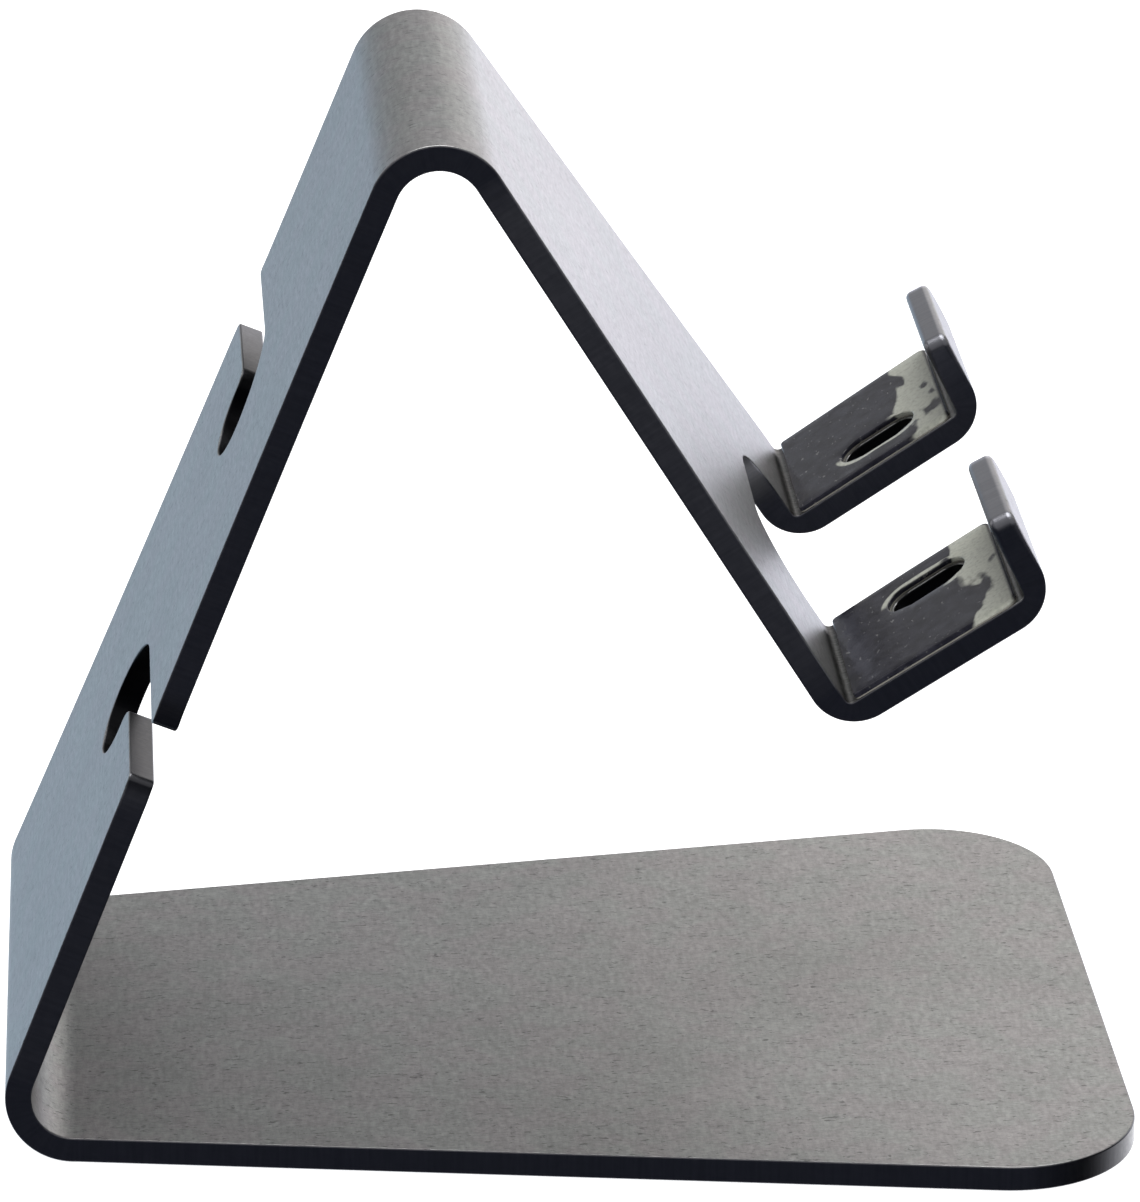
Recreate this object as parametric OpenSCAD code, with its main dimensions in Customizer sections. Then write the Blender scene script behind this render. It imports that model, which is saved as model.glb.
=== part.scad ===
// Bent sheet phone stand: one folded plate with a tapered base, a leaning rear
// leg with two cable hooks, a rounded top bend and two front prongs that end in
// upturned lips, plus glued ledge pads and glued feet.
// +Z up, front (ledge side) faces -Y, width along X.

/* [Sheet] */
// Plate thickness, mm
sheet = 2.0; // [1.6:0.1:2.4]
// Corner radius of the two free base corners, mm
base_corner_r = 10.0; // [6:0.5:14]
// Outside length of the base from its front edge to the back of the rear bend, mm
base_length = 86.0; // [82:1:96]
// Width of the base along its front edge, mm
base_front_width = 68.6; // [62:0.2:74]
// Width at the rear bend, mm
rear_width = 46.0; // [44:0.5:50]
// Width at the top bend, mm
top_width = 36.4; // [34:0.2:40]
// Width where the front leg meets the prong bends, mm
front_width = 56.0; // [53:0.2:57]
// Width across the two lips, mm
lip_width = 57.4; // [57:0.2:60]

/* [Bends] */
// Inside radius of the rear bend, mm
rear_bend_r = 3.3; // [2:0.1:5]
// Inside radius of the top bend, mm
top_bend_r = 3.3; // [2:0.1:5]
// Inside radius of the two prong bends, mm
prong_bend_r = 1.7; // [1:0.1:2.4]
// Inside radius of the two lip bends, mm
lip_bend_r = 1.6; // [1:0.1:2.2]
// Radius pressed into the inner corners of the prong bends and lip bends, mm
corner_press_r = 0.5; // [0.4:0.1:0.9]
// Slope of the rear leg above the base, degrees
rear_angle = 67.4; // [64:0.2:70]
// Slope of the front leg above the level, degrees
front_angle = 56.8; // [54:0.2:60]
// Slope of the ledge above the level, degrees
ledge_angle = 33.4; // [28:0.2:36]
// Direction of the lip above the level, degrees
lip_angle = 117.0; // [112:0.5:122]

/* [Flats] */
// Straight length of the rear leg between its bends, mm
rear_flat = 73.5; // [73:0.1:80]
// Straight length of the front leg between its bends, mm
front_flat = 44.1; // [42:0.1:48]
// Straight length of each ledge, mm
ledge_flat = 12.2; // [12:0.1:15]
// Straight length of each lip, mm
lip_flat = 5.0; // [4.4:0.1:7]
// Large corner radius at the tip of each lip, on the side away from the lower hook, mm
lip_corner_r = 4.4; // [2:0.1:4.4]
// Small corner radius at the tip of each lip, on the other side, mm
lip_small_r = 1.0; // [0.5:0.1:2]
// Distance up the rear leg over which its sides flare out towards the base, mm
flare_run = 72.0; // [66:1:73]

/* [Prongs] */
// Clear gap between the two prongs, mm
gap_width = 24.2; // [20:0.2:28]
// Height of the gap above the prong bend, measured along the front leg, mm
gap_rise = 7.0; // [5:0.1:9]
// Length of the slot in each ledge, mm
slot_length = 6.2; // [5:0.1:7]
// Width of the slot in each ledge, mm
slot_width = 3.2; // [2.4:0.1:3.6]
// Distance of each slot from the middle of the stand, mm
slot_offset = 16.6; // [16.2:0.1:18]
// Distance of the slot centre from the prong bend along the ledge, mm
slot_station = 6.9; // [6.4:0.1:7.4]

/* [Cable hooks] */
// Height of the lower hook mouth up the rear leg, mm
hook_low = 25.0; // [22:0.5:28]
// Height of the upper hook mouth up the rear leg, mm
hook_high = 49.5; // [46:0.5:54]
// Clear opening of each hook mouth, mm
hook_mouth = 4.3; // [3.6:0.1:5]
// Radius of the round pocket behind each tooth, mm
hook_pocket_r = 3.7; // [3.6:0.1:4.4]
// Depth of the pocket below the mouth, mm
hook_drop = 5.5; // [5:0.1:6.5]
// Distance of the pocket centre from the middle of the rear leg, mm
hook_offset = 2.2; // [1:0.1:3]

/* [Ledge pads] */
// Thickness of each soft ledge pad, mm
pad_thickness = 0.4; // [0.3:0.1:0.8]
// Thickness of the glue film under each pad, mm
pad_glue = 0.1; // [0.1:0.05:0.2]
// Set-back of the pads from the prong sides, mm
pad_inset = 0.1; // [0.1:0.1:0.6]
// Extra clearance of the pad slot around the ledge slot, mm
pad_slot_clear = 0.30; // [0.2:0.05:0.8]

/* [Feet] */
// Diameter of each round foot, mm
foot_d = 8.0; // [6:0.5:9]
// Thickness of each foot, mm
foot_thickness = 1.0; // [0.8:0.1:1.2]
// Thickness of the glue disc above each foot, mm
foot_glue = 0.2; // [0.1:0.1:0.3]
// Distance of the front feet from the middle, mm
foot_front_x = 22.0; // [18:0.5:23]
// Distance of the rear feet from the middle, mm
foot_rear_x = 14.5; // [12:0.5:15]
// Distance of the front feet from the front edge, mm
foot_front_y = 12.0; // [11:0.5:16]
// Distance of the rear feet from the front edge, mm
foot_rear_y = 70.0; // [64:0.5:72]

/* [Hidden] */
$fn = 96;
lift = foot_thickness + foot_glue;
h_front = base_front_width / 2;
h_rear = rear_width / 2;
h_top = top_width / 2;
h_prong = front_width / 2;
h_lip = lip_width / 2;
h_gap = gap_width / 2;
base_flat = base_length - rear_bend_r - sheet;
rear_turn = 180 - rear_angle;
top_turn = rear_angle + front_angle;
prong_turn = front_angle + ledge_angle;
lip_turn = lip_angle - ledge_angle;

// Sheet path in the side plane: x towards the front, z up, outside face first.
function dir(a) = [cos(a), sin(a)];
function right_end(p, a, turn, ri) =
    p + (ri + sheet) * dir(a - 90) - (ri + sheet) * dir(a - turn - 90);
function left_end(p, a, turn, ri) = p + ri * dir(a + 90) - ri * dir(a + turn + 90);

p_base = [base_length, 0];
p_rb = p_base + base_flat * dir(180);
p_rear = right_end(p_rb, 180, rear_turn, rear_bend_r);
p_tb = p_rear + rear_flat * dir(rear_angle);
p_front = right_end(p_tb, rear_angle, top_turn, top_bend_r);
p_pb = p_front + front_flat * dir(-front_angle);
p_ledge = left_end(p_pb, -front_angle, prong_turn, prong_bend_r);
p_lb = p_ledge + ledge_flat * dir(ledge_angle);
p_lip = left_end(p_lb, ledge_angle, lip_turn, lip_bend_r);

// Side plane to the stand: x runs to -Y, the middle of the base sits on the origin.
module stand() translate([0, base_length / 2, lift]) rotate([0, 0, -90]) children();

// Puts a drawing of a flat on the sheet: x along the path, y across, z out of the outside face.
module on_sheet(p, a) translate([p[0], 0, p[1]]) rotate([0, -a, 0]) children();

module flat_part(p, a) on_sheet(p, a) translate([0, 0, -sheet]) linear_extrude(height = sheet) children();

// A bend sector between two directions, w0 to w1 across. It laps 3 degrees into the flats at
// each end and is a hundredth of a millimetre shy of their faces, so the folds join cleanly.
lap = 3;
skin = 0.01;
side_skin = 0.04;
module bend_part(c, a0, turn, ri, w0, w1)
    translate([c[0], 0, c[1]]) rotate([90, 0, 0]) rotate([0, 0, a0 - lap])
        rotate_extrude(angle = turn + 2 * lap)
            translate([ri + skin, side_skin - w1]) square([sheet - 2 * skin, w1 - w0 - 2 * side_skin]);

module right_bend(p, a, turn, ri, w0, w1)
    bend_part(p + (ri + sheet) * dir(a - 90), a + 90 - turn, turn, ri, w0, w1);

module left_bend(p, a, turn, ri, w0, w1)
    bend_part(p + ri * dir(a + 90), a - 90, turn, ri, w0, w1);

// Base drawing: straight tapering sides and two rounded free corners.
taper = atan((h_front - h_rear) / base_flat);
corner_run = base_corner_r / tan((90 - taper) / 2);
corner_x = base_corner_r;
corner_y = h_front - corner_run;
side_x = corner_run * cos(taper);
side_y = h_front - corner_run * sin(taper);

module base_outline() {
    polygon([
        [base_flat, h_rear], [side_x, side_y], [corner_x, corner_y], [0, corner_y],
        [0, -corner_y], [corner_x, -corner_y], [side_x, -side_y], [base_flat, -h_rear]
    ]);
    translate([corner_x, corner_y]) circle(r = base_corner_r);
    translate([corner_x, -corner_y]) circle(r = base_corner_r);
}

// Rear leg drawing: waisted sides that flare out towards the rear bend.
flare_rise = h_rear - h_top;
flare_r = (flare_run * flare_run + flare_rise * flare_rise) / (2 * flare_rise);

module side_waste() {
    translate([flare_run, h_top + flare_r]) circle(r = flare_r, $fn = 720);
    translate([flare_run, h_top]) square([rear_flat - flare_run + 5, flare_rise + 5]);
}

// Cable hook drawing, mouth opening towards +y, lower side of the mouth on x = 0.
pocket_x = hook_pocket_r - hook_drop;
sweep_r = hook_mouth - pocket_x;
sweep_y = hook_offset - hook_pocket_r + sweep_r;
tooth_y = hook_offset + hook_pocket_r;
tip_r = 1.5;
pad_run_in = (prong_bend_r - corner_press_r) * tan(prong_turn / 2) - 0.15;
pad_run_out = (lip_bend_r - corner_press_r) * tan(lip_turn / 2) - 0.15;
mouth_r = 0.6;

module mouth_flare(x, dx, h) {
    difference() {
        translate([dx > 0 ? x : x - mouth_r, h - mouth_r]) square([mouth_r, mouth_r + 6]);
        translate([x + dx * mouth_r, h - mouth_r]) circle(r = mouth_r, $fn = 48);
    }
}

module hook_cut(h) {
    translate([pocket_x, hook_offset]) circle(r = hook_pocket_r);
    intersection() {
        translate([pocket_x, sweep_y]) circle(r = sweep_r);
        translate([pocket_x, sweep_y - sweep_r]) square([sweep_r, sweep_r]);
    }
    translate([pocket_x, hook_offset]) square([-pocket_x + hook_mouth, sweep_y - hook_offset]);
    translate([pocket_x, hook_offset]) square([-pocket_x, hook_pocket_r]);
    translate([0, hook_offset]) square([hook_mouth, h + 8 - hook_offset]);
    difference() {
        translate([-tip_r, tooth_y]) square([tip_r, tip_r]);
        translate([-tip_r, tooth_y + tip_r]) circle(r = tip_r, $fn = 48);
    }
    mouth_flare(0, -1, h);
    mouth_flare(hook_mouth, 1, h);
}

// Half width of the rear leg at a height up the flat.
function half_at(x) = x >= flare_run ? h_top
    : h_top + flare_r - sqrt(flare_r * flare_r - (flare_run - x) * (flare_run - x));

module rear_outline() {
    difference() {
        translate([0, -h_rear]) square([rear_flat, rear_width]);
        side_waste();
        mirror([0, 1]) side_waste();
        translate([hook_low, 0]) mirror([0, 1]) hook_cut(half_at(hook_low + hook_mouth / 2));
        translate([hook_high, 0]) hook_cut(half_at(hook_high + hook_mouth / 2));
    }
}

// Front leg drawing: widens downwards and splits into two prongs.
module front_outline() {
    difference() {
        polygon([[0, -h_top], [front_flat, -h_prong], [front_flat, h_prong], [0, h_top]]);
        translate([front_flat - gap_rise, -(h_gap - gap_rise)]) square([gap_rise + 2, 2 * (h_gap - gap_rise)]);
        translate([front_flat, h_gap - gap_rise]) circle(r = gap_rise);
        translate([front_flat, -(h_gap - gap_rise)]) circle(r = gap_rise);
    }
}

module slot_shape(clear) {
    run = slot_length / 2 - slot_width / 2;
    r = slot_width / 2 + clear;
    translate([slot_station - run, slot_offset]) circle(r = r);
    translate([slot_station + run, slot_offset]) circle(r = r);
    translate([slot_station - run, slot_offset - r]) square([2 * run, 2 * r]);
}

// Right-hand ledge and lip drawings. The left ones are mirrored, with the lip corner radii changed over.
module ledge_outline() {
    difference() {
        polygon([[0, h_gap], [ledge_flat, h_gap], [ledge_flat, h_lip], [0, h_prong]]);
        slot_shape(0);
    }
}

module corner_cut(x, y, sy, r) {
    difference() {
        translate([x - r, sy > 0 ? y - r : y]) square([r + 1, r]);
        translate([x - r, y - sy * r]) circle(r = r);
    }
}

module lip_outline(gap_r, outer_r) {
    difference() {
        translate([0, h_gap]) square([lip_flat, h_lip - h_gap]);
        corner_cut(lip_flat, h_gap, -1, gap_r);
        corner_cut(lip_flat, h_lip, 1, outer_r);
    }
}

// Space pressed into the inner corner of a left-hand bend, so that the corner is tighter than the bend itself.
module corner_press(p, a0, turn, ri) {
    c = p + ri * dir(a0 + 90);
    e = (ri - corner_press_r) * tan(turn / 2);
    k = c + (ri - corner_press_r) / cos(turn / 2) * dir(a0 - 90 + turn / 2);
    t1 = p + e * dir(a0);
    p2 = c + ri * dir(a0 + turn - 90);
    t2 = p2 - e * dir(a0 + turn);
    translate([0, 40, 0]) rotate([90, 0, 0]) linear_extrude(height = 80) union() {
        polygon([c, p + 0.002 * dir(a0), t1, t2, p2 - 0.002 * dir(a0 + turn)]);
        polygon([c, t1, k, t2]);
        translate(k) circle(r = corner_press_r, $fn = 64);
    }
}

module prong(gap_r, outer_r) {
    difference() {
        left_bend(p_pb, -front_angle, prong_turn, prong_bend_r, h_gap, h_prong);
        corner_press(p_pb, -front_angle, prong_turn, prong_bend_r);
    }
    flat_part(p_ledge, ledge_angle) ledge_outline();
    difference() {
        left_bend(p_lb, ledge_angle, lip_turn, lip_bend_r, h_gap, h_lip);
        corner_press(p_lb, ledge_angle, lip_turn, lip_bend_r);
    }
    flat_part(p_lip, lip_angle) lip_outline(gap_r, outer_r);
}

module frame() color([0.24, 0.25, 0.27]) stand() {
    flat_part(p_base, 180) base_outline();
    right_bend(p_rb, 180, rear_turn, rear_bend_r, -h_rear, h_rear);
    flat_part(p_rear, rear_angle) rear_outline();
    right_bend(p_tb, rear_angle, top_turn, top_bend_r, -h_top, h_top);
    flat_part(p_front, -front_angle) front_outline();
    prong(lip_small_r, lip_corner_r);
    mirror([0, 1, 0]) prong(lip_corner_r, lip_small_r);
}

// Pad drawing on the ledge, right-hand side.
module pad_outline() {
    ra = 0.4;
    rb = 0.9;
    x0 = -pad_run_in;
    x1 = ledge_flat + pad_run_out;
    y0 = h_gap + pad_inset;
    ya = h_prong - pad_inset;
    yb = h_lip - pad_inset;
    difference() {
        union() {
            polygon([[x0, y0 + ra], [x0 + ra, y0], [x1 - rb, y0], [x1, y0 + rb],
                     [x1, yb - rb], [x1 - rb, yb], [x0 + ra, ya], [x0, ya - ra]]);
            for (y = [y0 + ra, ya - ra]) translate([x0 + ra, y]) circle(r = ra, $fn = 32);
            for (y = [y0 + rb, yb - rb]) translate([x1 - rb, y]) circle(r = rb, $fn = 48);
        }
        slot_shape(pad_slot_clear);
    }
}

module pad_layer(z, h) on_sheet(p_ledge, ledge_angle) translate([0, 0, z]) linear_extrude(height = h) pad_outline();

module ledge_pad_right() color([0.16, 0.16, 0.18]) stand() pad_layer(pad_glue, pad_thickness);
module ledge_pad_left() color([0.16, 0.16, 0.18]) stand() mirror([0, 1, 0]) pad_layer(pad_glue, pad_thickness);
module ledge_glue_right() color([0.55, 0.54, 0.5]) stand() pad_layer(0, pad_glue);
module ledge_glue_left() color([0.55, 0.54, 0.5]) stand() mirror([0, 1, 0]) pad_layer(0, pad_glue);

module foot_disc(x, y, z, h, d) translate([x, y - base_length / 2, z]) cylinder(d = d, h = h);

module foot_body(x, y) color([0.1, 0.1, 0.1])
    translate([x, y - base_length / 2, 0]) union() {
        cylinder(d1 = foot_d - 0.8, d2 = foot_d, h = 0.4);
        translate([0, 0, 0.4]) cylinder(d = foot_d, h = foot_thickness - 0.4);
    }

module foot_film(x, y) color([0.55, 0.54, 0.5]) foot_disc(x, y, foot_thickness, foot_glue, foot_d - 0.6);

module foot_front_left() foot_body(-foot_front_x, foot_front_y);
module foot_front_right() foot_body(foot_front_x, foot_front_y);
module foot_rear_left() foot_body(-foot_rear_x, foot_rear_y);
module foot_rear_right() foot_body(foot_rear_x, foot_rear_y);
module foot_glue_front_left() foot_film(-foot_front_x, foot_front_y);
module foot_glue_front_right() foot_film(foot_front_x, foot_front_y);
module foot_glue_rear_left() foot_film(-foot_rear_x, foot_rear_y);
module foot_glue_rear_right() foot_film(foot_rear_x, foot_rear_y);

frame();
ledge_pad_left();
ledge_pad_right();
ledge_glue_left();
ledge_glue_right();
foot_front_left();
foot_front_right();
foot_rear_left();
foot_rear_right();
foot_glue_front_left();
foot_glue_front_right();
foot_glue_rear_left();
foot_glue_rear_right();
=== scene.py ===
import math

import bpy
import numpy as np
from mathutils import Matrix, Vector
from mathutils.geometry import delaunay_2d_cdt


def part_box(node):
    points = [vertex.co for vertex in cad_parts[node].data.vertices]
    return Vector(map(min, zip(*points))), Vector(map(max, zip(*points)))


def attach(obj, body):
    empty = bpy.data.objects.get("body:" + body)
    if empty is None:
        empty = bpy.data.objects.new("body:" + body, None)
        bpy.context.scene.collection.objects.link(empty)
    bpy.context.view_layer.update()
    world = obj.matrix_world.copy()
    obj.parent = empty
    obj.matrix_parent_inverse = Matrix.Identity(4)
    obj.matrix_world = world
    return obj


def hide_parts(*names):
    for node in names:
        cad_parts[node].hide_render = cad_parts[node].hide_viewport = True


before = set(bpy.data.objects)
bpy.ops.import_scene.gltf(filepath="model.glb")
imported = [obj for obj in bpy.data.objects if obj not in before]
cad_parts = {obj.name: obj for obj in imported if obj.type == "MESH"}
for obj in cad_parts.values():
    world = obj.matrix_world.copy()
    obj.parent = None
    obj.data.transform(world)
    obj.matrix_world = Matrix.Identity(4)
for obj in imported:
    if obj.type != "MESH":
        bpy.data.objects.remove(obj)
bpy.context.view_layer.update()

SCENE = bpy.context.scene
SCENE.view_settings.view_transform = "Standard"
MM = 0.001

# ------------------------------------------------------------------ sheet sizes, mm
T = 2.0
LEN, W_BASE, W_REAR, W_TOP, W_PRONG, W_LIP, W_GAP = 86.0, 34.3, 23.0, 18.2, 28.0, 28.7, 12.1
R_REAR, R_TOP, R_PRONG, R_LIP, R_PRESS = 3.3, 3.3, 1.7, 1.6, 0.5
A_REAR, A_FRONT, A_LEDGE, A_LIP = 67.4, 56.8, 33.4, 117.0
N_REAR, N_FRONT, N_LEDGE, N_LIP = 73.5, 44.1, 12.2, 5.0
R_CORNER, R_TIP, R_TIP2, FLARE, RISE = 10.0, 4.4, 1.0, 72.0, 7.0
HOOK_LOW, HOOK_HIGH, MOUTH, POCKET, DROP, OFFSET = 25.0, 49.5, 4.3, 3.7, 5.5, 2.2
SLOT_L, SLOT_W, SLOT_V, SLOT_U = 6.2, 3.2, 16.6, 6.9
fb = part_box("frame")
Y_FRONT, Z_LOW = fb[0][1] / MM, fb[0][2] / MM
EDGE = 0.16          # how far the rolled sheet's edges are rounded over


def head(a):
    a = math.radians(a)
    return np.array([math.cos(a), math.sin(a)])


def sections():
    out, pos, ang, u = [], np.array([LEN, 0.0]), 180.0, 0.0
    for name, kind, a, b in (("base", "flat", LEN - R_REAR - T, 0), ("rear_bend", "right", 180 - A_REAR, R_REAR),
                             ("rear", "flat", N_REAR, 0), ("top_bend", "right", A_REAR + A_FRONT, R_TOP),
                             ("front", "flat", N_FRONT, 0), ("prong_bend", "left", A_FRONT + A_LEDGE, R_PRONG),
                             ("ledge", "flat", N_LEDGE, 0), ("lip_bend", "left", A_LIP - A_LEDGE, R_LIP),
                             ("lip", "flat", N_LIP, 0)):
        n = a if kind == "flat" else math.radians(a) * (b + T / 2)
        out.append((name, kind, u, n, pos.copy(), ang, a, b))
        if kind == "flat":
            pos = pos + n * head(ang)
        elif kind == "right":
            c = pos + (b + T) * head(ang - 90)
            ang -= a
            pos = c - (b + T) * head(ang - 90)
        else:
            c = pos + b * head(ang + 90)
            ang += a
            pos = c - b * head(ang + 90)
        u += n
    return out


SEC = sections()
U0 = {s[0]: s[2] for s in SEC}
UL = {s[0]: s[3] for s in SEC}


def pressed(f, turn, ri):
    """Tight inner corner of a left-hand bend: distance from the bend's centre and turn of the surface at turn f."""
    half = math.radians(turn / 2)
    d = (ri - R_PRESS) / math.cos(half)
    phi = np.radians(f) - half
    lim = math.atan2(R_PRESS * math.sin(half), d + R_PRESS * math.cos(half))
    mid = np.abs(phi) < lim
    q = np.clip(np.abs(phi), 0, lim)
    arc_r = d * np.cos(q) + np.sqrt(np.maximum(R_PRESS ** 2 - (d * np.sin(q)) ** 2, 0))
    psi = np.arctan2(arc_r * np.sin(q), arc_r * np.cos(q) - d)
    r = np.where(mid, arc_r, ri / np.cos(np.clip(half - np.abs(phi), 0, None)))
    return r, np.degrees(half + np.sign(phi) * np.where(mid, psi, half))


def place(u, v, h, only=None):
    """Flat drawing (u along, v across, h in from the outside face) to the row frame in metres, with the unit tangent and outside normal."""
    u, v, h = (np.asarray(a, float) for a in (u, v, h))
    P, TT, NN = np.zeros((len(u), 3)), np.zeros((len(u), 3)), np.zeros((len(u), 3))
    for name, kind, u0, n, p, a, turn, ri in SEC:
        m = (u < u0 + n) if name == "base" else (u >= u0) if name == "lip" else (u >= u0) & (u < u0 + n)
        if only is not None:
            m = np.full(len(u), name == only)
        if not m.any():
            continue
        w, hh = u[m] - u0, h[m]
        if kind == "flat":
            t, nl = np.tile(head(a), (len(w), 1)), np.tile(head(a + 90), (len(w), 1))
            q = p + w[:, None] * t - hh[:, None] * nl
        else:
            f = w / n * turn
            if kind == "right":
                c, an = p + (ri + T) * head(a - 90), np.radians(a - f)
                nl = np.stack([-np.sin(an), np.cos(an)], 1)
                q = c + (ri + T - hh)[:, None] * nl
            else:
                c, an = p + ri * head(a + 90), np.radians(a + f)
                nl = np.stack([-np.sin(an), np.cos(an)], 1)
                rr, ff = pressed(f, turn, ri)
                k = np.clip(1 - hh / T, 0, 1)
                q = c - (ri + hh + (rr - ri) * k)[:, None] * nl
                an = np.radians(a + f * (1 - k) + ff * k)
                nl = np.stack([-np.sin(an), np.cos(an)], 1)
            t = np.stack([np.cos(an), np.sin(an)], 1)
        P[m] = np.stack([v[m], Y_FRONT + LEN - q[:, 0], q[:, 1] + Z_LOW], 1)
        TT[m] = np.stack([np.zeros(len(w)), -t[:, 0], t[:, 1]], 1)
        NN[m] = np.stack([np.zeros(len(w)), -nl[:, 0], nl[:, 1]], 1)
    # a hair smaller than the drawing, so the round bends stay inside the CAD part's box
    P[:, :2] *= 0.9997
    P[:, 2] = Z_LOW + (P[:, 2] - Z_LOW) * 0.9997
    return P * MM, TT, NN


# ------------------------------------------------------------------ the unfolded outline
def arc(cx, cy, r, a0, a1, step=4.0):
    a = np.radians(np.linspace(a0, a1, max(2, int(abs(a1 - a0) / step) + 1)))
    return [(cx + r * math.cos(x), cy + r * math.sin(x)) for x in a]


def rear_half(s):
    fr = (FLARE ** 2 + (W_REAR - W_TOP) ** 2) / (2 * (W_REAR - W_TOP))
    return W_TOP if s >= FLARE else W_TOP + fr - math.sqrt(fr ** 2 - (FLARE - s) ** 2)


def hook(s0, h):
    px = POCKET - DROP
    sr = MOUTH - px
    sy, ty = OFFSET - POCKET + sr, OFFSET + POCKET
    r, tip = 0.6, 1.5
    pts = arc(MOUTH + r, h - r, r, 90, 180, 12) + [(MOUTH, sy + 2.0), (MOUTH, sy + 0.05)]
    pts += arc(px, sy, sr, 0, -90, 5) + arc(px, OFFSET, POCKET, -90, -270, 6)[1:]
    pts += [(-tip, ty)] + arc(-tip, ty + tip, tip, -90, 0, 10)[1:] + arc(-r, h - r, r, 0, 90, 12)
    return [(s0 + a, b) for a, b in pts]


def side(hook_at, gap_r, outer_r):
    """The drawing's edge on one side, front middle to the prong gap's middle."""
    n0 = LEN - R_REAR - T
    tp = math.atan((W_BASE - W_REAR) / n0)
    cy = W_BASE - R_CORNER * math.tan((math.pi / 2 + tp) / 2)
    pts = [(0.0, 0.0), (0.0, cy * 0.5), (0.0, cy)] + arc(R_CORNER, cy, R_CORNER, 180, 90 - math.degrees(tp), 3)[1:]
    sx, sy = pts[-1]
    pts += [(sx + (n0 - sx) * i / 24, sy + (W_REAR - sy) * i / 24) for i in range(1, 25)]
    pts += [(U0["rear_bend"] + UL["rear_bend"] * i / 36, W_REAR) for i in range(1, 37)]
    u0 = U0["rear"]
    hk = hook(hook_at, rear_half(hook_at + MOUTH / 2))
    low, high = hk[-1][0], hk[0][0]
    s = 1.0
    while s < low - 0.3:
        pts.append((u0 + s, rear_half(s)))
        s += 1.5
    pts += [(u0 + a, b) for a, b in hk[::-1]]
    s = high + 1.0
    while s < N_REAR - 0.3:
        pts.append((u0 + s, rear_half(s)))
        s += 1.5
    pts.append((u0 + N_REAR, W_TOP))
    pts += [(U0["top_bend"] + UL["top_bend"] * i / 40, W_TOP) for i in range(1, 41)]
    pts += [(U0["front"] + N_FRONT * i / 16, W_TOP + (W_PRONG - W_TOP) * i / 16) for i in range(1, 17)]
    pts += [(U0["prong_bend"] + UL["prong_bend"] * i / 28, W_PRONG) for i in range(1, 29)]
    pts += [(U0["ledge"] + N_LEDGE * i / 6, W_PRONG + (W_LIP - W_PRONG) * i / 6) for i in range(1, 7)]
    pts += [(U0["lip_bend"] + UL["lip_bend"] * i / 26, W_LIP) for i in range(1, 27)]
    u0 = U0["lip"]
    pts += arc(u0 + N_LIP - outer_r, W_LIP - outer_r, outer_r, 90, 0, 5)
    pts += arc(u0 + N_LIP - gap_r, W_GAP + gap_r, gap_r, 0, -90, 5)
    pts += [(U0["lip_bend"] + UL["lip_bend"] * i / 26, W_GAP) for i in range(26, -1, -1)]
    pts += [(U0["ledge"] + N_LEDGE * i / 6, W_GAP) for i in range(5, -1, -1)]
    pts += [(U0["prong_bend"] + UL["prong_bend"] * i / 28, W_GAP) for i in range(27, -1, -1)]
    pts += arc(U0["front"] + N_FRONT, W_GAP - RISE, RISE, 90, 180, 5)[1:] + [(U0["front"] + N_FRONT - RISE, 0.0)]
    return pts


def clean(loop):
    out = [loop[0]]
    for p in loop[1:]:
        if math.hypot(p[0] - out[-1][0], p[1] - out[-1][1]) > 0.02:
            out.append(p)
    if math.hypot(out[0][0] - out[-1][0], out[0][1] - out[-1][1]) < 0.02:
        out.pop()
    return np.array(out)


def slot_loop(sign, grow=0.0, step=9):
    run, r = SLOT_L / 2 - SLOT_W / 2, SLOT_W / 2 + grow
    c = U0["ledge"] + SLOT_U
    return clean([(a, sign * b) for a, b in arc(c + run, SLOT_V, r, 90, -90, step) + arc(c - run, SLOT_V, r, 270, 90, step)])


def area(p):
    x, y = p[:, 0], p[:, 1]
    return 0.5 * float(np.sum(x * np.roll(y, -1) - np.roll(x, -1) * y))


def oriented(p, ccw):
    return p if (area(p) > 0) == ccw else p[::-1].copy()


def normals_2d(p):
    """Outward from the material for a loop with the material on its left."""
    e = np.roll(p, -1, 0) - p
    e /= np.linalg.norm(e, axis=1)[:, None]
    n = np.stack([e[:, 1], -e[:, 0]], 1)
    m = n + np.roll(n, 1, 0)
    return m / np.linalg.norm(m, axis=1)[:, None]


def inside(loop, pts):
    x, y = pts[:, 0], pts[:, 1]
    r = np.zeros(len(pts), bool)
    q = np.roll(loop, -1, 0)
    for (x0, y0), (x1, y1) in zip(loop, q):
        c = ((y0 > y) != (y1 > y))
        with np.errstate(divide="ignore", invalid="ignore"):
            r ^= c & (x < (x1 - x0) * (y - y0) / (y1 - y0 + 1e-12) + x0)
    return r


def far_from(loop, pts, d):
    q = np.roll(loop, -1, 0)
    best = np.full(len(pts), 1e9)
    for a, b in zip(loop, q):
        ab = b - a
        t = np.clip(((pts - a) @ ab) / (ab @ ab), 0, 1)
        best = np.minimum(best, np.linalg.norm(pts - (a + t[:, None] * ab), axis=1))
    return best > d


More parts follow.
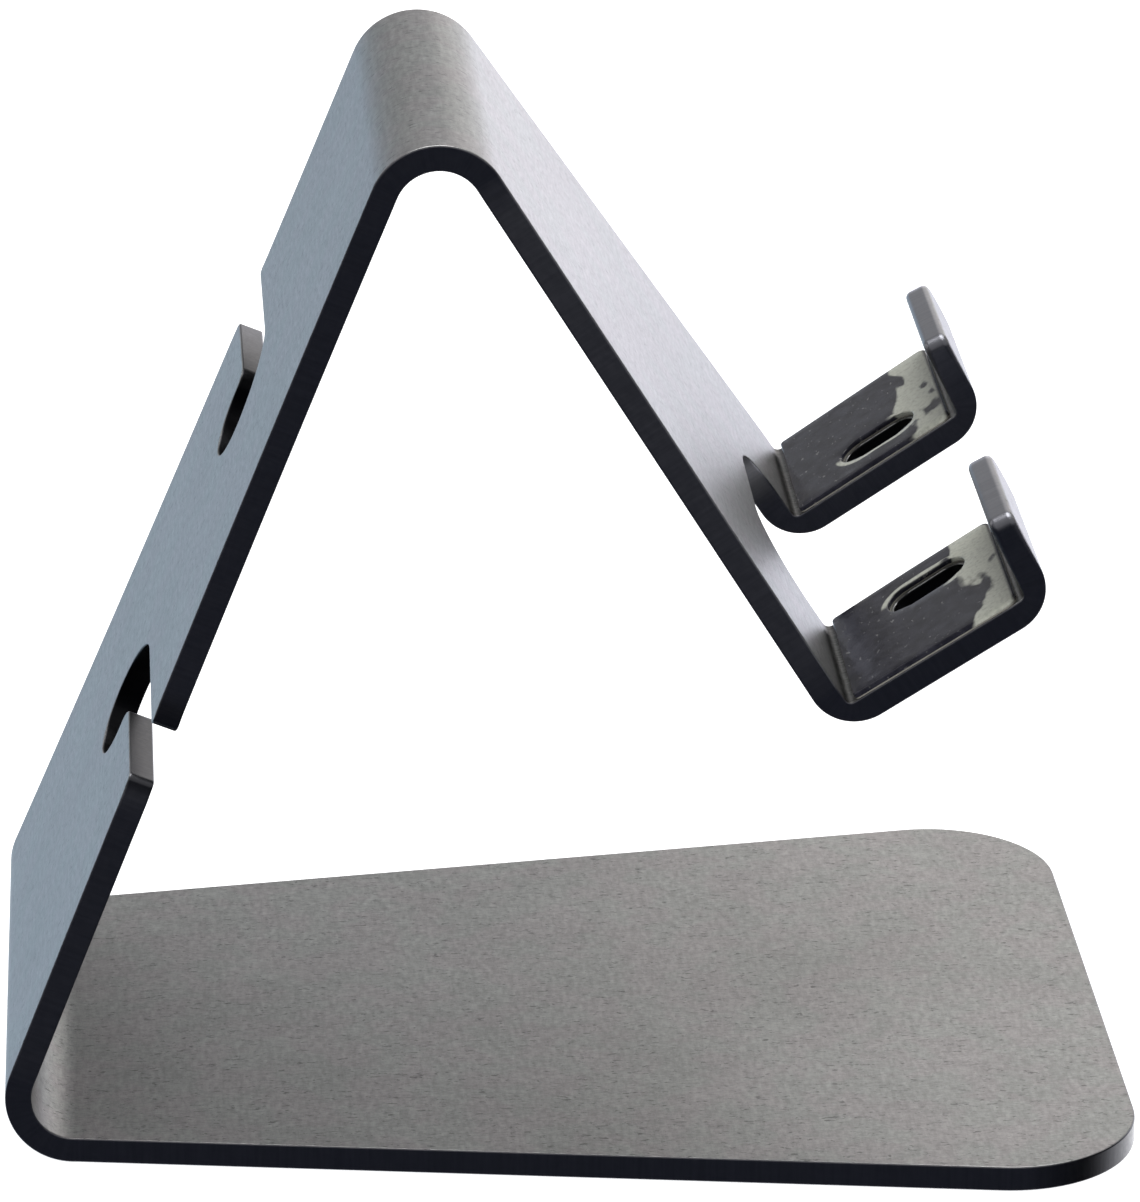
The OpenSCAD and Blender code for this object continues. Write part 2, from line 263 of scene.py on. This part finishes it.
def shell(name, outer, holes, h0, h1, edge0, edge1, rows, pitch, wave=None, only=None):
    """A piece cut out of the flat drawing between depths h0 and h1, edges rounded over by edge0 and edge1."""
    loops = [oriented(clean(list(map(tuple, outer))), True)] + [oriented(h, False) for h in holes]
    K = 4
    prof = [(edge0 * (1 - math.sin(f)), h0 + edge0 * (1 - math.cos(f)), math.sin(f), -math.cos(f)) for f in np.linspace(0, math.pi / 2, K + 1)]
    prof += [(edge1 * (1 - math.sin(f)), h1 - edge1 * (1 - math.cos(f)), math.sin(f), math.cos(f)) for f in np.linspace(math.pi / 2, 0, K + 1)]
    U, V, H, OU, OV, SN, CN = ([] for _ in range(7))
    faces, rings = [], []
    for lp in loops:
        n2 = normals_2d(lp)
        # the lips' tips are rounded over more than the other edges
        t = np.clip((lp[:, 0] - U0["lip"] - 1.2) / 2.4, 0, 1)
        grow = np.ones(len(lp)) if only else 1 + 2.2 * t * t * (3 - 2 * t)
        base = []
        for inset, h, sn, cn in prof:
            base.append(len(U))
            hc, he = (h0, edge0) if cn < 0 else (h1, edge1)
            q = lp - inset * n2 * grow[:, None]
            for (a, b), (c, d), g in zip(q, n2, grow):
                U.append(a); V.append(b); H.append(hc + (h - hc) * g); OU.append(c); OV.append(d); SN.append(sn); CN.append(cn)
        m = len(lp)
        for k in range(len(base) - 1):
            for i in range(m):
                j = (i + 1) % m
                faces.append((base[k] + i, base[k] + j, base[k + 1] + j, base[k + 1] + i))
        rings.append((base[0], base[-1], m))
    # face fillings: the inset loops and a net of inner points
    grid = []
    us = sorted(set(rows))
    for k, u in enumerate(us):
        vs = np.arange(-36, 36.01, pitch) + (pitch / 2 if k % 2 else 0)
        grid += [(u, v) for v in vs]
    grid = np.array(grid)
    keep = inside(loops[0], grid) & far_from(loops[0], grid, 0.45 + edge0)
    for hlp in loops[1:]:
        keep &= ~inside(hlp, grid) & far_from(hlp, grid, 0.45 + edge0)
    grid = grid[keep]
    for which in (0, 1):
        idx, pts, edges = [], [], []
        for r in rings:
            s0 = r[which]
            k0 = len(pts)
            for i in range(r[2]):
                idx.append(s0 + i); pts.append(Vector((U[s0 + i], V[s0 + i])))
                edges.append((k0 + i, k0 + (i + 1) % r[2]))
        h = h0 if which == 0 else h1
        for a, b in grid:
            idx.append(len(U)); pts.append(Vector((a, b)))
            U.append(a); V.append(b); H.append(h); OU.append(0); OV.append(0); SN.append(0); CN.append(-1 if which == 0 else 1)
        vo, eo, fo, ov, oe, of = delaunay_2d_cdt(pts, edges, [], 1, 1e-6)
        back = [o[0] for o in ov]
        mid = np.array([[sum(vo[i][c] for i in f) / len(f) for c in (0, 1)] for f in fo])
        drop = np.zeros(len(fo), bool)
        for hlp in loops[1:]:
            drop |= inside(hlp, mid)
        for f in [f for f, d in zip(fo, drop) if not d]:
            t = [idx[back[i]] for i in f]
            a2 = sum(U[t[i]] * V[t[(i + 1) % len(t)]] - U[t[(i + 1) % len(t)]] * V[t[i]] for i in range(len(t)))
            if (a2 < 0) == (which == 0):
                t = t[::-1]
            faces.append(tuple(t))
    U, V, H, OU, OV, SN, CN = (np.array(a, float) for a in (U, V, H, OU, OV, SN, CN))
    if wave is not None:
        H = H + wave(U, V, H, CN)
    P, TT, NN = place(U, V, H, only)
    out3 = OU[:, None] * TT + OV[:, None] * np.array([1.0, 0, 0])
    N = SN[:, None] * out3 - CN[:, None] * NN
    N /= np.linalg.norm(N, axis=1)[:, None]
    # depth grows inwards, so a face at h0 looks along +NN; test one wall quad and flip all if needed
    f = faces[0]
    fn = np.cross(P[f[1]] - P[f[0]], P[f[2]] - P[f[0]])
    if fn @ (N[f[0]] + N[f[2]]) < 0:
        faces = [t[::-1] for t in faces]
    good = []
    for t in faces:
        fn = np.cross(P[t[1]] - P[t[0]], P[t[2]] - P[t[0]])
        if len(t) == 3 and np.linalg.norm(fn) < 1e-16:
            continue
        good.append(t if fn @ (N[t[0]] + N[t[1]] + N[t[2]]) >= 0 else t[::-1])
    me = bpy.data.meshes.new(name)
    me.from_pydata([tuple(p) for p in P], [], good)
    me.update()
    for p in me.polygons:
        p.use_smooth = True
    at = me.attributes.new("flat", "FLOAT_VECTOR", "POINT")
    at.data.foreach_set("vector", np.stack([U, V, H], 1).astype(np.float32).ravel())
    at = me.attributes.new("wall", "FLOAT", "POINT")
    at.data.foreach_set("value", SN.astype(np.float32))
    # painted shade on the sawn walls, stored per point: full in the hook pockets and the pad slots, 0.63 at the hook
    # lips, and strongest at the base's front end and rounded corners, fading out along the corner arcs
    s = U - U0["rear"]
    lip_low = (s > 24) & (s < 31) & (V < -9.4) & (V > -22)
    lip_high = (s > 48.5) & (s < 55.5) & (V > 9.4) & (V < 22)
    wall_painted_shade = ((s > 18) & (s < 30) & (V < 3) & (V > -9.5)) | ((s > 42.5) & (s < 54.5) & (V > -3.2) & (V < 9.5))
    wall_painted_shade |= (U > U0["ledge"]) & (U < U0["ledge"] + N_LEDGE) & (np.abs(np.abs(V) - SLOT_V) < 2.4)
    at = me.attributes.new("wall_painted_shade", "FLOAT", "POINT")
    wall_painted_shade = np.where(wall_painted_shade, 1.0, np.where(lip_low | lip_high, 0.63, 0.94 * np.clip(2.2 * (1 - U / (R_CORNER * 0.95)), 0, 1)))
    at.data.foreach_set("value", wall_painted_shade.astype(np.float32))
    if wave is None:
        me.normals_split_custom_set_from_vertices([tuple(n) for n in N])
    o = bpy.data.objects.new(name, me)
    SCENE.collection.objects.link(o)
    return o


# ------------------------------------------------------------------ materials
def mat(name):
    m = bpy.data.materials.new(name)
    m.use_nodes = True
    nt = m.node_tree
    b = nt.nodes["Principled BSDF"]
    return m, nt, b


class Net:
    """Small helper that chains shader nodes."""

    def __init__(self, nt):
        self.nt = nt

    def attr(self, name, kind="Vector"):
        n = self.nt.nodes.new("ShaderNodeAttribute")
        n.attribute_name = name
        return n.outputs[kind]

    def _set(self, sock, v):
        if hasattr(v, "is_output"):
            self.nt.links.new(v, sock)
        else:
            sock.default_value = v

    def math(self, op, a, b=0.0, c=0.0, clamp=False):
        n = self.nt.nodes.new("ShaderNodeMath")
        n.operation, n.use_clamp = op, clamp
        for i, v in enumerate((a, b, c)):
            self._set(n.inputs[i], v)
        return n.outputs[0]

    def vec(self, op, a, b=(0, 0, 0)):
        n = self.nt.nodes.new("ShaderNodeVectorMath")
        n.operation = op
        self._set(n.inputs[0], a)
        self._set(n.inputs[1], b)
        return n.outputs[0]

    def xyz(self, v):
        n = self.nt.nodes.new("ShaderNodeSeparateXYZ")
        self._set(n.inputs[0], v)
        return n.outputs

    def noise(self, v, scale, detail=4.0, rough=0.55, dist=0.0):
        n = self.nt.nodes.new("ShaderNodeTexNoise")
        self._set(n.inputs["Vector"], v)
        n.inputs["Scale"].default_value = scale
        n.inputs["Detail"].default_value = detail
        n.inputs["Roughness"].default_value = rough
        n.inputs["Distortion"].default_value = dist
        return n.outputs["Fac"]

    def ramp(self, f, lo, hi, a=0.0, b=1.0, smooth=True):
        n = self.nt.nodes.new("ShaderNodeMapRange")
        n.interpolation_type = "SMOOTHSTEP" if smooth else "LINEAR"
        n.clamp = True
        self._set(n.inputs["Value"], f)
        for k, v in (("From Min", lo), ("From Max", hi), ("To Min", a), ("To Max", b)):
            n.inputs[k].default_value = v
        return n.outputs[0]

    def mix(self, f, a, b):
        n = self.nt.nodes.new("ShaderNodeMix")
        n.data_type = "RGBA"
        self._set(n.inputs["Factor"], f)
        self._set(n.inputs[6], a)
        self._set(n.inputs[7], b)
        return n.outputs[2]

    def mul(self, a, f):
        n = self.nt.nodes.new("ShaderNodeMix")
        n.data_type, n.blend_type = "RGBA", "MULTIPLY"
        n.inputs["Factor"].default_value = 1.0
        self._set(n.inputs[6], a)
        c = self.nt.nodes.new("ShaderNodeCombineColor")
        for i in range(3):
            self._set(c.inputs[i], f)
        self.nt.links.new(c.outputs[0], n.inputs[7])
        return n.outputs[2]


def sheet_metal():
    m, nt, b = mat("anodised aluminium sheet")
    k = Net(nt)
    flat, wall = k.attr("flat"), k.attr("wall", "Fac")
    u, v, h = k.xyz(flat)
    # rolled sheet: fine grain along u, pits and short dark streaks, soft mottling
    grain = k.noise(k.vec("MULTIPLY", flat, (0.55, 1.0, 1.0)), 2.6, 5.0, 0.68)
    fine = k.noise(k.vec("MULTIPLY", flat, (0.30, 1.0, 1.0)), 6.5, 2.0, 0.6)
    coarse = k.noise(k.vec("MULTIPLY", flat, (1.0, 0.30, 1.0)), 2.4, 4.0, 0.66)
    streak = k.noise(k.vec("MULTIPLY", flat, (0.40, 1.0, 1.0)), 3.3, 3.0, 0.6, 0.4)
    cloud = k.noise(flat, 0.10, 4.0, 0.55)
    tint = k.noise(k.vec("ADD", flat, (31.0, 7.0, 3.0)), 0.22, 3.0, 0.6)
    dark = k.ramp(streak, 0.31, 0.41, 0.50, 1.0)
    g = k.math("MULTIPLY", k.ramp(grain, 0.25, 0.75, 0.80, 1.20, False), k.ramp(fine, 0.3, 0.7, 0.91, 1.09, False))
    g = k.math("MULTIPLY", g, k.ramp(coarse, 0.3, 0.7, 0.84, 1.16, False))
    legs = k.noise(k.vec("MULTIPLY", flat, (2.2, 0.22, 1.0)), 1.5, 4.0, 0.66)
    on_legs = k.ramp(u, U0["rear"], U0["rear"] + 3.0)
    g = k.math("MULTIPLY", g, k.math("MULTIPLY_ADD", on_legs, k.ramp(legs, 0.3, 0.7, -0.13, 0.13, False), 1.0))
    g = k.math("MULTIPLY", g, k.ramp(cloud, 0.3, 0.7, 0.95, 1.05, False))
    base = k.mix(k.ramp(tint, 0.42, 0.58), (0.300, 0.306, 0.299, 1), (0.310, 0.301, 0.301, 1))
    face = k.mul(base, k.math("MULTIPLY", g, dark))
    # sawn edges: milled lines straight through the sheet
    mill = k.noise(k.vec("MULTIPLY", flat, (1.0, 1.0, 0.06)), 3.4, 2.0, 0.6)
    edge = k.mul((0.250, 0.252, 0.275, 1), k.ramp(mill, 0.35, 0.65, 0.92, 1.05, False))
    w = k.ramp(wall, 0.55, 0.85)
    # painted shade: the sawn walls are darkened by up to 90% by the per-point painted-shade attribute
    wall_painted_shade = k.attr("wall_painted_shade", "Fac")
    edge = k.mul(edge, k.math("MULTIPLY_ADD", wall_painted_shade, -0.90, 1.0))
    # painted shade: the outside of the prong bends is darkened, in streaks
    bu = k.math("SUBTRACT", u, U0["prong_bend"])
    bend_painted_shade = k.math("MULTIPLY", k.ramp(bu, 0.9, 1.9), k.ramp(bu, UL["prong_bend"], UL["prong_bend"] + 0.25, 1.0, 0.0))
    bend_painted_shade = k.math("MULTIPLY", bend_painted_shade, k.ramp(h, 0.9, 1.1, 1.0, 0.0))
    lines = k.noise(k.vec("MULTIPLY", flat, (0.15, 1.0, 1.0)), 4.0, 3.0, 0.6)
    face = k.mul(face, k.math("MULTIPLY_ADD", bend_painted_shade, k.math("MULTIPLY_ADD", k.ramp(lines, 0.3, 0.7), 0.35, -0.88), 1.0))
    k._set(b.inputs["Base Color"], k.mix(w, face, edge))
    b.inputs["Metallic"].default_value = 1.0
    r_face = k.ramp(grain, 0.3, 0.7, 0.36, 0.44, False)
    r = k.math("MULTIPLY_ADD", w, -0.06, r_face)
    k._set(b.inputs["Roughness"], r)
    bump = nt.nodes.new("ShaderNodeBump")
    bump.inputs["Strength"].default_value = 0.30
    bump.inputs["Distance"].default_value = 0.00006
    hgt = k.math("ADD", k.math("ADD", k.math("MULTIPLY", grain, 0.5), k.math("MULTIPLY", coarse, 0.5)), k.math("MULTIPLY", dark, 0.8))
    hgt = k.math("ADD", k.math("MULTIPLY", hgt, k.math("SUBTRACT", 1.0, w)), k.math("MULTIPLY", k.math("MULTIPLY", mill, w), 0.35))
    k._set(bump.inputs["Height"], hgt)
    nt.links.new(bump.outputs[0], b.inputs["Normal"])
    return m


def pad_rubber():
    m, nt, b = mat("glossy soft pad")
    k = Net(nt)
    flat = k.attr("flat")
    n1 = k.noise(flat, 0.9, 4.0, 0.6)
    speck = k.noise(k.vec("MULTIPLY", flat, (1.0, 0.6, 1.0)), 2.2, 2.0, 0.5)
    sp = k.ramp(speck, 0.655, 0.72)
    col = k.mix(k.ramp(n1, 0.3, 0.7), (0.010, 0.010, 0.016, 1), (0.026, 0.026, 0.036, 1))
    col = k.mix(k.math("MULTIPLY", sp, 0.7), col, (0.15, 0.15, 0.15, 1))
    u, v, h = k.xyz(flat)
    # painted reflection: pale patches near the lip and round the slot
    lip = k.math("SUBTRACT", u, U0["ledge"] + N_LEDGE)
    wob = k.noise(k.vec("MULTIPLY", flat, (1.0, 0.60, 1.0)), 0.30, 2.5, 0.5, 0.3)
    band = k.math("MULTIPLY", k.ramp(k.math("MULTIPLY_ADD", wob, 4.4, lip), -0.7, -0.3), k.ramp(lip, 0.45, 0.75, 1.0, 0.0))
    reflection_patch = k.math("MULTIPLY", band, k.ramp(wob, 0.40, 0.46))
    # distance from the slot's outline
    su = k.math("SUBTRACT", u, U0["ledge"] + SLOT_U)
    au = k.math("MAXIMUM", k.math("SUBTRACT", k.math("ABSOLUTE", su), SLOT_L / 2 - SLOT_W / 2), 0.0)
    sv = k.math("SUBTRACT", k.math("ABSOLUTE", v), SLOT_V)
    rad = k.math("SQRT", k.math("ADD", k.math("MULTIPLY", au, au), k.math("MULTIPLY", sv, sv)))
    reflection_ring = k.math("MULTIPLY", k.ramp(rad, SLOT_W / 2 + 0.30, SLOT_W / 2 + 0.45), k.ramp(rad, SLOT_W / 2 + 0.75, SLOT_W / 2 + 0.95, 1.0, 0.0))
    side_in = k.math("MAXIMUM", k.ramp(sv, 0.1, -0.7), k.ramp(su, 1.0, 2.0))
    reflection_ring = k.math("MULTIPLY", k.math("MULTIPLY", reflection_ring, side_in), k.ramp(k.noise(flat, 0.5, 2.0, 0.5), 0.24, 0.34))
    # both painted reflections together, broken up by a soft noise and mixed in as pale grey
    pale = k.math("MAXIMUM", reflection_patch, reflection_ring)
    pale = k.math("MULTIPLY", pale, k.ramp(k.noise(flat, 3.5, 3.0, 0.6), 0.25, 0.60, 0.72, 1.0))
    col = k.mix(k.math("MULTIPLY", pale, 0.92), col, (0.50, 0.51, 0.44, 1))
    k._set(b.inputs["Base Color"], col)
    b.inputs["Metallic"].default_value = 0.0
    k._set(b.inputs["Roughness"], k.ramp(n1, 0.3, 0.7, 0.14, 0.24, False))
    b.inputs["Specular IOR Level"].default_value = 0.22
    b.inputs["Coat Weight"].default_value = 0.04
    b.inputs["Coat Roughness"].default_value = 0.08
    bump = nt.nodes.new("ShaderNodeBump")
    bump.inputs["Strength"].default_value = 0.25
    bump.inputs["Distance"].default_value = 0.0001
    k._set(bump.inputs["Height"], k.noise(flat, 0.7, 3.0, 0.5))
    nt.links.new(bump.outputs[0], b.inputs["Normal"])
    return m


def foot_rubber():
    m, nt, b = mat("matte black rubber")
    k = Net(nt)
    tc = nt.nodes.new("ShaderNodeTexCoord")
    n = k.noise(tc.outputs["Object"], 900.0, 4.0, 0.6)
    k._set(b.inputs["Base Color"], k.mix(n, (0.012, 0.012, 0.012, 1), (0.028, 0.028, 0.027, 1)))
    k._set(b.inputs["Roughness"], k.ramp(n, 0.2, 0.8, 0.62, 0.85, False))
    bump = nt.nodes.new("ShaderNodeBump")
    bump.inputs["Strength"].default_value = 0.3
    bump.inputs["Distance"].default_value = 0.00005
    k._set(bump.inputs["Height"], n)
    nt.links.new(bump.outputs[0], b.inputs["Normal"])
    return m


def glue_film():
    m, nt, b = mat("adhesive film")
    k = Net(nt)
    tc = nt.nodes.new("ShaderNodeTexCoord")
    n = k.noise(tc.outputs["Object"], 700.0, 3.0, 0.5)
    k._set(b.inputs["Base Color"], k.mix(n, (0.20, 0.19, 0.16, 1), (0.30, 0.29, 0.25, 1)))
    k._set(b.inputs["Roughness"], k.ramp(n, 0.2, 0.8, 0.35, 0.5, False))
    return m


# ------------------------------------------------------------------ pieces
right = side(HOOK_HIGH, R_TIP2, R_TIP)
left = side(HOOK_LOW, R_TIP, R_TIP2)
outline = clean(right + [(a, -b) for a, b in left[::-1]][1:-1])
rows = []
for name, kind, u0, n, p, a, turn, ri in SEC:
    cnt = {"flat": max(2, int(n / 6)), "right": 36, "left": 26}[kind]
    rows += [u0 + n * i / cnt for i in range(cnt + 1)]
plate = shell("stand_plate", outline, [slot_loop(1), slot_loop(-1)], 0.0, T, EDGE, EDGE, rows, 2.6)


RUN_IN = (R_PRONG - R_PRESS) * math.tan(math.radians((A_FRONT + A_LEDGE) / 2)) - 0.15
RUN_OUT = (R_LIP - R_PRESS) * math.tan(math.radians((A_LIP - A_LEDGE) / 2)) - 0.15


def pad_loop(sign):
    ra, rb, x0, x1 = 0.4, 0.9, U0["ledge"] - RUN_IN, U0["ledge"] + N_LEDGE + RUN_OUT
    y0, ya, yb = W_GAP + 0.1, W_PRONG - 0.1, W_LIP - 0.1
    p = arc(x0 + ra, y0 + ra, ra, 180, 270, 15) + [((x0 + x1) / 2, y0)] + arc(x1 - rb, y0 + rb, rb, 270, 360, 10) + [(x1, (y0 + yb) / 2)]
    p += arc(x1 - rb, yb - rb, rb, 0, 90, 10) + [((x0 + x1) / 2, (ya + yb) / 2)] + arc(x0 + ra, ya - ra, ra, 90, 180, 15) + [(x0, (y0 + ya) / 2)]
    return clean([(a, sign * b) for a, b in p])


GLUE, PAD = 0.1, 0.4


def pad_wave(u, v, h, cn):
    top = (h < -GLUE - PAD * 0.5)
    w = 0.03 * np.sin(u * 1.9 + 0.7 * np.abs(v)) * np.sin(0.8 * np.abs(v) + 1.1 * u * 0.6) + 0.03
    return np.where(top, w, 0.0)


pad_rows = [U0["ledge"] - RUN_IN + (N_LEDGE + RUN_IN + RUN_OUT) * i / 18 for i in range(19)]
pads = {}
for sgn, word in ((1, "right"), (-1, "left")):
    o = shell("soft_pad_" + word, pad_loop(sgn), [slot_loop(sgn, 0.30, 12)], -GLUE - PAD, -GLUE, 0.16, 0.04, pad_rows, 1.0, pad_wave, "ledge")
    pads[word] = o

metal, pad_m, foot_m, glue_m = sheet_metal(), pad_rubber(), foot_rubber(), glue_film()
plate.data.materials.append(metal)
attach(plate, "root")
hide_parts("frame")
for word, o in pads.items():
    o.data.materials.append(pad_m)
    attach(o, "root")
    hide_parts("ledge_pad_" + word)
for name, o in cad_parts.items():
    o.data.materials.clear()
    o.data.materials.append(foot_m if name.startswith("foot_") and "glue" not in name else glue_m if "glue" in name else pad_m if "pad" in name else metal)

# ------------------------------------------------------------------ floor, light, camera
fm, fnt, fbs = mat("pale floor")
fbs.inputs["Base Color"].default_value = (0.7, 0.7, 0.7, 1)
fbs.inputs["Roughness"].default_value = 0.9
fbs.inputs["Specular IOR Level"].default_value = 0.1
fbs.inputs["Emission Color"].default_value = (1, 1, 1, 1)
fbs.inputs["Emission Strength"].default_value = 0.95
fme = bpy.data.meshes.new("floor")
fme.from_pydata([(-3, -3, 0), (3, -3, 0), (3, 3, 0), (-3, 3, 0)], [], [(0, 1, 2, 3)])
floor = bpy.data.objects.new("floor", fme)
fme.materials.append(fm)
SCENE.collection.objects.link(floor)
floor.visible_glossy = False

world = bpy.data.worlds.new("studio")
SCENE.world = world
world.use_nodes = True
wn = world.node_tree
bg = wn.nodes["Background"]
kw = Net(wn)
tc = wn.nodes.new("ShaderNodeTexCoord")
dx, dy, dz = kw.xyz(tc.outputs["Generated"])
# pale all round, dimmer and cooler behind the stand, dark on the side the camera is on
cool = kw.ramp(dy, -0.05, 0.28)
low = kw.ramp(dz, 0.20, -0.13)
front_c = kw.mix(low, (0.474, 0.473, 0.476, 1), (1.76, 1.78, 2.02, 1))
front_c = kw.mix(kw.ramp(dz, -0.20, -0.36), front_c, (2.6, 2.6, 2.7, 1))
back_c = kw.mix(low, (0.42, 0.42, 0.42, 1), (0.62, 0.78, 0.95, 1))
colr = kw.mix(cool, front_c, back_c)
shade = kw.ramp(kw.math("MULTIPLY_ADD", dz, -0.35, dx), -0.05, 0.60, 0.0, 1.0)
up = kw.ramp(dz, 0.55, 0.95, 1.0, 1.25)
near_c = kw.mix(kw.ramp(dz, 0.10, 0.42), (0.026, 0.029, 0.042, 1), (0.36, 0.36, 0.37, 1))
colr = kw.mix(shade, near_c, kw.mul(colr, up))
wn.links.new(colr, bg.inputs["Color"])
bg.inputs["Strength"].default_value = 1.0


def lamp(name, loc, target, size, power, col=(1, 1, 1), seen=True):
    d = bpy.data.lights.new(name, "AREA")
    d.shape, d.size, d.energy, d.color = "DISK", size, power, col
    o = bpy.data.objects.new(name, d)
    SCENE.collection.objects.link(o)
    o.location = loc
    o.visible_camera = seen
    o.rotation_mode = "QUATERNION"
    o.rotation_quaternion = (Vector(target) - Vector(loc)).to_track_quat("-Z", "Y")
    return o


lamp("top soft light", (0.15, 0.0, 0.75), (0, 0, 0.0), 0.6, 4.0)
lamp("front soft light", (0.24, -0.10, 0.10), (0, -0.02, 0.0), 0.17, 0.05, (1.0, 0.945, 0.89), False)

cam_d = bpy.data.cameras.new("camera")
cam = bpy.data.objects.new("camera", cam_d)
SCENE.collection.objects.link(cam)
rt, fw, upv = Vector((-0.066609, -0.997779, -0.000523)), Vector((0.935389, -0.062262, -0.348095)), Vector((0.34729, -0.023676, 0.937459))
m4 = Matrix((rt, upv, -fw)).transposed().to_4x4()
m4.translation = Vector((-485.586, 31.643, 222.852)) * MM
cam.matrix_world = m4
cam_d.sensor_fit = "HORIZONTAL"
cam_d.sensor_width = 36.0
cam_d.lens = 212.2053
cam_d.shift_x = 0.00749
cam_d.shift_y = -0.05448
cam_d.clip_start, cam_d.clip_end = 0.01, 20
SCENE.camera = cam
